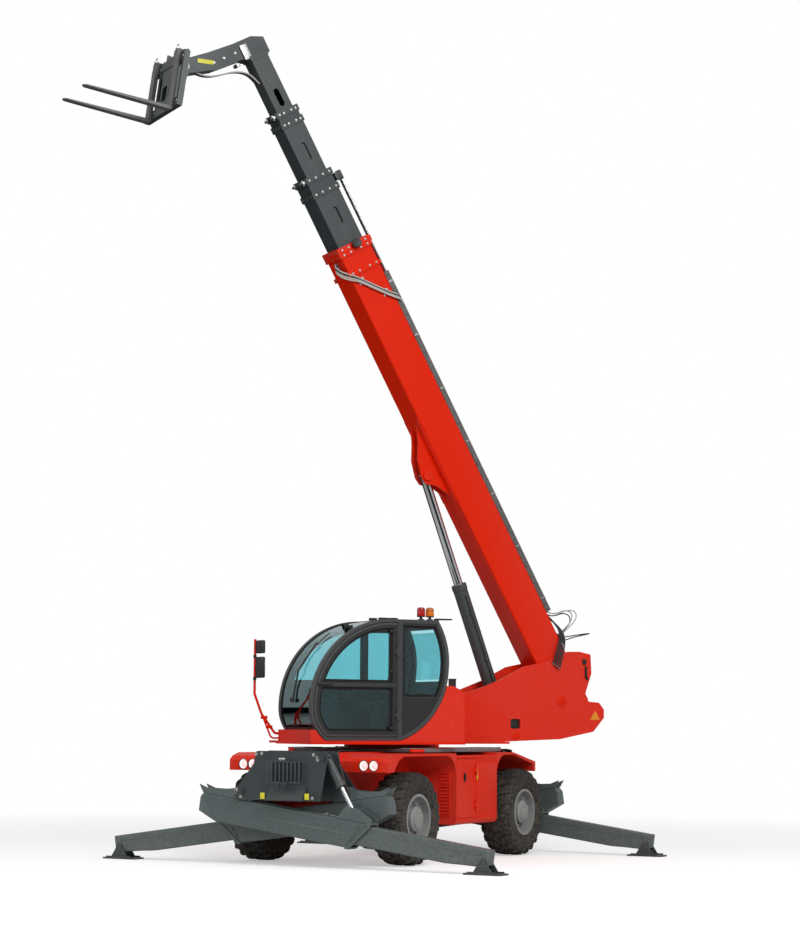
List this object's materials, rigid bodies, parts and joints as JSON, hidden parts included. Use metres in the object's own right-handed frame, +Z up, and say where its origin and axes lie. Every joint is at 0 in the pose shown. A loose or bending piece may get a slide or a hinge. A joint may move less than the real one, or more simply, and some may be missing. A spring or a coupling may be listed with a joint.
{
  "type": "rotating telehandler",
  "caption": "Rotating telescopic handler with an outrigger at each corner, a side cab and pallet forks on a telescoping boom raised over the front.",
  "frame": {"origin": "middle of the whole model's footprint, on the ground", "axes": "+X to the front of the chassis, +Y to its left, +Z up"},
  "size_m": [6.8438, 5.8514, 10.76],
  "materials": {
    "red_paint": "gloss",
    "dark_grey_paint": "satin",
    "leg_grey": "satin",
    "black_paint": "satin",
    "chrome": "polished",
    "cast_axle": "rough",
    "tyre": "matte",
    "rim_grey": "satin",
    "black_plastic": "matte",
    "seat_fabric": "woven"
  },
  "bodies": {
    "chassis": {"chassis_frame": "red_paint", "axles": "cast_axle", "fenders": "red_paint", "side_locker": "red_paint", "side_tank": "red_paint", "stabiliser_frames": "dark_grey_paint"},
    "knuckle_front_left": {"knuckle_front_left": "cast_axle"},
    "wheel_front_left": {"tyre_front_left": "tyre", "rim_front_left": "rim_grey"},
    "knuckle_front_right": {"knuckle_front_right": "cast_axle"},
    "wheel_front_right": {"tyre_front_right": "tyre", "rim_front_right": "rim_grey"},
    "knuckle_rear_left": {"knuckle_rear_left": "cast_axle"},
    "wheel_rear_left": {"tyre_rear_left": "tyre", "rim_rear_left": "rim_grey"},
    "knuckle_rear_right": {"knuckle_rear_right": "cast_axle"},
    "wheel_rear_right": {"tyre_rear_right": "tyre", "rim_rear_right": "rim_grey"},
    "stabiliser_beam_front_left": {"stabiliser_beam_front_left": "leg_grey"},
    "stabiliser_leg_front_left": {"stabiliser_leg_front_left": "leg_grey"},
    "stabiliser_foot_front_left": {"stabiliser_foot_front_left": "dark_grey_paint"},
    "stabiliser_barrel_front_left": {"stabiliser_barrel_front_left": "dark_grey_paint"},
    "stabiliser_rod_front_left": {"stabiliser_rod_front_left": "chrome"},
    "stabiliser_beam_front_right": {"stabiliser_beam_front_right": "leg_grey"},
    "stabiliser_leg_front_right": {"stabiliser_leg_front_right": "leg_grey"},
    "stabiliser_foot_front_right": {"stabiliser_foot_front_right": "dark_grey_paint"},
    "stabiliser_barrel_front_right": {"stabiliser_barrel_front_right": "dark_grey_paint"},
    "stabiliser_rod_front_right": {"stabiliser_rod_front_right": "chrome"},
    "stabiliser_beam_rear_right": {"stabiliser_beam_rear_right": "leg_grey"},
    "stabiliser_leg_rear_right": {"stabiliser_leg_rear_right": "leg_grey"},
    "stabiliser_foot_rear_right": {"stabiliser_foot_rear_right": "dark_grey_paint"},
    "stabiliser_barrel_rear_right": {"stabiliser_barrel_rear_right": "dark_grey_paint"},
    "stabiliser_rod_rear_right": {"stabiliser_rod_rear_right": "chrome"},
    "stabiliser_beam_rear_left": {"stabiliser_beam_rear_left": "leg_grey"},
    "stabiliser_leg_rear_left": {"stabiliser_leg_rear_left": "leg_grey"},
    "stabiliser_foot_rear_left": {"stabiliser_foot_rear_left": "dark_grey_paint"},
    "stabiliser_barrel_rear_left": {"stabiliser_barrel_rear_left": "dark_grey_paint"},
    "stabiliser_rod_rear_left": {"stabiliser_rod_rear_left": "chrome"},
    "turret": {"turret_frame": "red_paint", "engine_hood": "red_paint", "engine_block": "cast_axle", "cab_frame": "dark_grey_paint", "cab_base": "red_paint", "driver_seat": "seat_fabric", "steering_console": "black_plastic", "mirror_arm": "red_paint"},
    "cab_door": {"cab_door": "dark_grey_paint"},
    "locker_door": {"locker_door": "red_paint"},
    "boom": {"boom_outer": "red_paint", "hose_tray": "black_paint"},
    "section_1": {"boom_section_1": "dark_grey_paint"},
    "section_2": {"boom_section_2": "dark_grey_paint"},
    "section_3": {"boom_section_3": "dark_grey_paint", "boom_head": "dark_grey_paint"},
    "lift_barrel": {"lift_barrel": "dark_grey_paint"},
    "lift_rod": {"lift_rod": "chrome"},
    "carriage": {"carriage": "dark_grey_paint", "forks": "black_paint"}
  },
  "joints": [
    {"name": "steer_front_left", "type": "hinge", "parent": "chassis", "child": "knuckle_front_left", "pos_m": [0.91204, 0.91763, 0.575], "axis": [0, 0, 1], "range_deg": [-28, 28]},
    {"name": "spin_front_left", "type": "hinge", "parent": "knuckle_front_left", "child": "wheel_front_left", "pos_m": [0.91204, 1.03763, 0.575], "axis": [0, 1, 0], "continuous": true},
    {"name": "steer_front_right", "type": "hinge", "parent": "chassis", "child": "knuckle_front_right", "pos_m": [0.91204, -0.90237, 0.575], "axis": [0, 0, 1], "range_deg": [-28, 28]},
    {"name": "spin_front_right", "type": "hinge", "parent": "knuckle_front_right", "child": "wheel_front_right", "pos_m": [0.91204, -1.02237, 0.575], "axis": [0, 1, 0], "continuous": true},
    {"name": "steer_rear_left", "type": "hinge", "parent": "chassis", "child": "knuckle_rear_left", "pos_m": [-2.03796, 0.91763, 0.575], "axis": [0, 0, 1], "range_deg": [-28, 28]},
    {"name": "spin_rear_left", "type": "hinge", "parent": "knuckle_rear_left", "child": "wheel_rear_left", "pos_m": [-2.03796, 1.03763, 0.575], "axis": [0, 1, 0], "continuous": true},
    {"name": "steer_rear_right", "type": "hinge", "parent": "chassis", "child": "knuckle_rear_right", "pos_m": [-2.03796, -0.90237, 0.575], "axis": [0, 0, 1], "range_deg": [-28, 28]},
    {"name": "spin_rear_right", "type": "hinge", "parent": "knuckle_rear_right", "child": "wheel_rear_right", "pos_m": [-2.03796, -1.02237, 0.575], "axis": [0, 1, 0], "continuous": true},
    {"name": "stabiliser_swing_front_left", "type": "hinge", "parent": "chassis", "child": "stabiliser_beam_front_left", "pos_m": [1.91204, -0.65237, 0.9], "axis": [-1, 0, 0], "range_deg": [-14, 0]},
    {"name": "stabiliser_slide_front_left", "type": "slide", "parent": "stabiliser_beam_front_left", "child": "stabiliser_leg_front_left", "axis": [0, 0.9903, -0.139], "range_m": [-1.45, 0]},
    {"name": "stabiliser_foot_front_left", "type": "hinge", "parent": "stabiliser_leg_front_left", "child": "stabiliser_foot_front_left", "pos_m": [1.91204, 2.67567, 0.15], "axis": [-1, 0, 0], "range_deg": [-15, 15]},
    {"name": "stabiliser_barrel_front_left", "type": "hinge", "parent": "chassis", "child": "stabiliser_barrel_front_left", "pos_m": [1.91204, 0.50763, 1.33], "axis": [-1, 0, 0], "range_deg": [-25.48, 0.5]},
    {"name": "stabiliser_rod_front_left", "type": "slide", "parent": "stabiliser_barrel_front_left", "child": "stabiliser_rod_front_left", "axis": [0, 0.5113, -0.8594], "range_m": [-0.2841, 0.005]},
    {"name": "stabiliser_swing_front_right", "type": "hinge", "parent": "chassis", "child": "stabiliser_beam_front_right", "pos_m": [1.68704, 0.66763, 0.9], "axis": [1, 0, 0], "range_deg": [-14, 0]},
    {"name": "stabiliser_slide_front_right", "type": "slide", "parent": "stabiliser_beam_front_right", "child": "stabiliser_leg_front_right", "axis": [0, -0.9903, -0.139], "range_m": [-1.45, 0]},
    {"name": "stabiliser_foot_front_right", "type": "hinge", "parent": "stabiliser_leg_front_right", "child": "stabiliser_foot_front_right", "pos_m": [1.68704, -2.66042, 0.15], "axis": [1, 0, 0], "range_deg": [-15, 15]},
    {"name": "stabiliser_barrel_front_right", "type": "hinge", "parent": "chassis", "child": "stabiliser_barrel_front_right", "pos_m": [1.68704, -0.49237, 1.33], "axis": [1, 0, 0], "range_deg": [-25.48, 0.5]},
    {"name": "stabiliser_rod_front_right", "type": "slide", "parent": "stabiliser_barrel_front_right", "child": "stabiliser_rod_front_right", "axis": [0, -0.5113, -0.8594], "range_m": [-0.2841, 0.005]},
    {"name": "stabiliser_swing_rear_right", "type": "hinge", "parent": "chassis", "child": "stabiliser_beam_rear_right", "pos_m": [-3.03796, 0.66763, 0.9], "axis": [1, 0, 0], "range_deg": [-14, 0]},
    {"name": "stabiliser_slide_rear_right", "type": "slide", "parent": "stabiliser_beam_rear_right", "child": "stabiliser_leg_rear_right", "axis": [0, -0.9903, -0.139], "range_m": [-1.45, 0]},
    {"name": "stabiliser_foot_rear_right", "type": "hinge", "parent": "stabiliser_leg_rear_right", "child": "stabiliser_foot_rear_right", "pos_m": [-3.03796, -2.66042, 0.15], "axis": [1, 0, 0], "range_deg": [-15, 15]},
    {"name": "stabiliser_barrel_rear_right", "type": "hinge", "parent": "chassis", "child": "stabiliser_barrel_rear_right", "pos_m": [-3.03796, -0.49237, 1.33], "axis": [1, 0, 0], "range_deg": [-25.48, 0.5]},
    {"name": "stabiliser_rod_rear_right", "type": "slide", "parent": "stabiliser_barrel_rear_right", "child": "stabiliser_rod_rear_right", "axis": [0, -0.5113, -0.8594], "range_m": [-0.2841, 0.005]},
    {"name": "stabiliser_swing_rear_left", "type": "hinge", "parent": "chassis", "child": "stabiliser_beam_rear_left", "pos_m": [-2.81296, -0.65237, 0.9], "axis": [-1, 0, 0], "range_deg": [-14, 0]},
    {"name": "stabiliser_slide_rear_left", "type": "slide", "parent": "stabiliser_beam_rear_left", "child": "stabiliser_leg_rear_left", "axis": [0, 0.9903, -0.139], "range_m": [-1.45, 0]},
    {"name": "stabiliser_foot_rear_left", "type": "hinge", "parent": "stabiliser_leg_rear_left", "child": "stabiliser_foot_rear_left", "pos_m": [-2.81296, 2.67567, 0.15], "axis": [-1, 0, 0], "range_deg": [-15, 15]},
    {"name": "stabiliser_barrel_rear_left", "type": "hinge", "parent": "chassis", "child": "stabiliser_barrel_rear_left", "pos_m": [-2.81296, 0.50763, 1.33], "axis": [-1, 0, 0], "range_deg": [-25.48, 0.5]},
    {"name": "stabiliser_rod_rear_left", "type": "slide", "parent": "stabiliser_barrel_rear_left", "child": "stabiliser_rod_rear_left", "axis": [0, 0.5113, -0.8594], "range_m": [-0.2841, 0.005]},
    {"name": "slew", "type": "hinge", "parent": "chassis", "child": "turret", "pos_m": [-0.56296, 0.00763, 1.455], "axis": [0, 0, 1], "continuous": true},
    {"name": "cab_door_hinge", "type": "hinge", "parent": "turret", "child": "cab_door", "pos_m": [0.55446, 0.72858, 1.85], "axis": [0, 0, 1], "range_deg": [0, 100]},
    {"name": "locker_door_hinge", "type": "hinge", "parent": "chassis", "child": "locker_door", "pos_m": [-0.75096, 1.17463, 0.7], "axis": [0, 0, 1], "range_deg": [0, 110]},
    {"name": "boom_lift", "type": "hinge", "parent": "turret", "child": "boom", "pos_m": [-2.71465, 1.3186, 2.06], "axis": [-0.5505, -0.8348, 0], "range_deg": [-60.5, 14.5]},
    {"name": "section_1_slide", "type": "slide", "parent": "boom", "child": "section_1", "axis": [0.4111, -0.2711, 0.8704], "range_m": [-0.66, 3.2]},
    {"name": "section_2_slide", "type": "slide", "parent": "section_1", "child": "section_2", "axis": [0.4111, -0.2711, 0.8704], "range_m": [-0.66, 3.2]},
    {"name": "section_3_slide", "type": "slide", "parent": "section_2", "child": "section_3", "axis": [0.4111, -0.2711, 0.8704], "range_m": [-0.66, 3.2]},
    {"name": "carriage_tilt", "type": "hinge", "parent": "section_3", "child": "carriage", "pos_m": [1.97553, -1.774, 10.2], "axis": [0.5505, 0.8348, 0], "range_deg": [-55, 45]},
    {"name": "lift_barrel_swing", "type": "hinge", "parent": "turret", "child": "lift_barrel", "pos_m": [-2.11439, 0.9228, 1.586], "axis": [-0.5505, -0.8348, 0], "range_deg": [-63.72, 15.65]},
    {"name": "lift_rod_slide", "type": "slide", "parent": "lift_barrel", "child": "lift_rod", "axis": [0.2903, -0.1914, 0.9376], "range_m": [-0.8336, 0.2074]}
  ],
  "couplings": [
    {"joint": "steer_front_right", "follows": "steer_front_left", "ratio": 1},
    {"joint": "steer_rear_right", "follows": "steer_rear_left", "ratio": 1},
    {"joint": "stabiliser_barrel_front_left", "follows": "stabiliser_swing_front_left", "ratio": 1.7843},
    {"joint": "stabiliser_rod_front_left", "follows": "stabiliser_swing_front_left", "m_per_rad": 1.142},
    {"joint": "stabiliser_barrel_front_right", "follows": "stabiliser_swing_front_right", "ratio": 1.7843},
    {"joint": "stabiliser_rod_front_right", "follows": "stabiliser_swing_front_right", "m_per_rad": 1.142},
    {"joint": "stabiliser_barrel_rear_right", "follows": "stabiliser_swing_rear_right", "ratio": 1.7843},
    {"joint": "stabiliser_rod_rear_right", "follows": "stabiliser_swing_rear_right", "m_per_rad": 1.142},
    {"joint": "stabiliser_barrel_rear_left", "follows": "stabiliser_swing_rear_left", "ratio": 1.7843},
    {"joint": "stabiliser_rod_rear_left", "follows": "stabiliser_swing_rear_left", "m_per_rad": 1.142},
    {"joint": "section_2_slide", "follows": "section_1_slide", "ratio": 1},
    {"joint": "section_3_slide", "follows": "section_1_slide", "ratio": 1},
    {"joint": "lift_barrel_swing", "follows": "boom_lift", "ratio": 1.045},
    {"joint": "lift_rod_slide", "follows": "boom_lift", "m_per_rad": 0.78}
  ]
}
